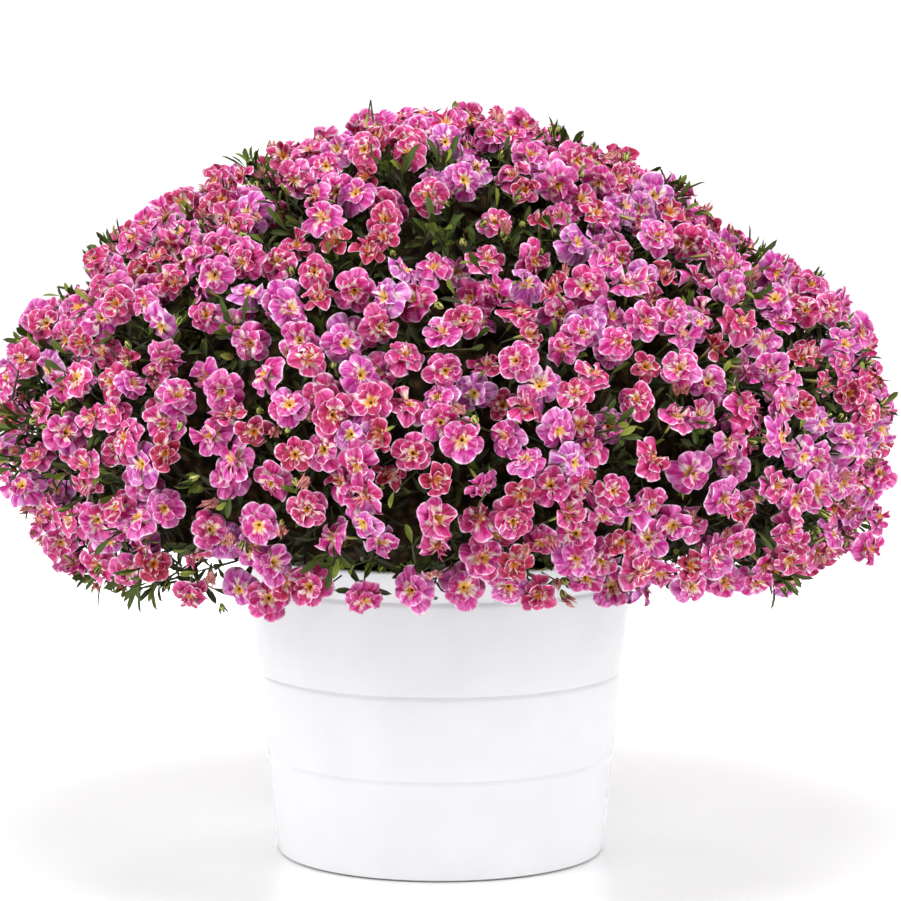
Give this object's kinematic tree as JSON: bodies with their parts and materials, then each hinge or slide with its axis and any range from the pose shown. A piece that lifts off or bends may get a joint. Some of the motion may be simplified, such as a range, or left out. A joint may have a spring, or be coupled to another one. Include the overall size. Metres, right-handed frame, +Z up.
{
  "type": "potted calibrachoa",
  "caption": "Mounded calibrachoa covered in small double flowers, with fine leafy stems, growing in a round stepped white glazed pot.",
  "frame": {"origin": "centre of the pot's flat base, on the surface that it stands on", "axes": "+Z up along the pot's axis, -Y towards the front of the plant, +X to the right"},
  "size_m": [0.6219, 0.6214, 0.5195],
  "materials": {
    "glazed_pot": "gloss",
    "potting_soil": "matte",
    "flowering_stems": "satin"
  },
  "bodies": {
    "root": {"pot": "glazed_pot", "soil": "potting_soil", "leafy_stem_01": "flowering_stems", "leafy_stem_02": "flowering_stems", "leafy_stem_03": "flowering_stems", "leafy_stem_04": "flowering_stems", "leafy_stem_05": "flowering_stems", "leafy_stem_06": "flowering_stems", "leafy_stem_07": "flowering_stems", "leafy_stem_08": "flowering_stems", "leafy_stem_09": "flowering_stems", "leafy_stem_10": "flowering_stems", "leafy_stem_11": "flowering_stems", "leafy_stem_12": "flowering_stems", "leafy_stem_13": "flowering_stems", "leafy_stem_14": "flowering_stems", "leafy_stem_15": "flowering_stems", "leafy_stem_16": "flowering_stems", "leafy_stem_17": "flowering_stems", "leafy_stem_18": "flowering_stems", "leafy_stem_19": "flowering_stems", "leafy_stem_20": "flowering_stems", "leafy_stem_21": "flowering_stems", "leafy_stem_22": "flowering_stems", "leafy_stem_23": "flowering_stems", "leafy_stem_24": "flowering_stems", "leafy_stem_25": "flowering_stems", "leafy_stem_26": "flowering_stems", "leafy_stem_27": "flowering_stems", "leafy_stem_28": "flowering_stems", "leafy_stem_29": "flowering_stems", "leafy_stem_30": "flowering_stems", "leafy_stem_31": "flowering_stems", "leafy_stem_32": "flowering_stems", "leafy_stem_33": "flowering_stems", "leafy_stem_34": "flowering_stems", "leafy_stem_35": "flowering_stems", "leafy_stem_36": "flowering_stems", "leafy_stem_37": "flowering_stems", "leafy_stem_38": "flowering_stems"}
  },
  "joints": []
}
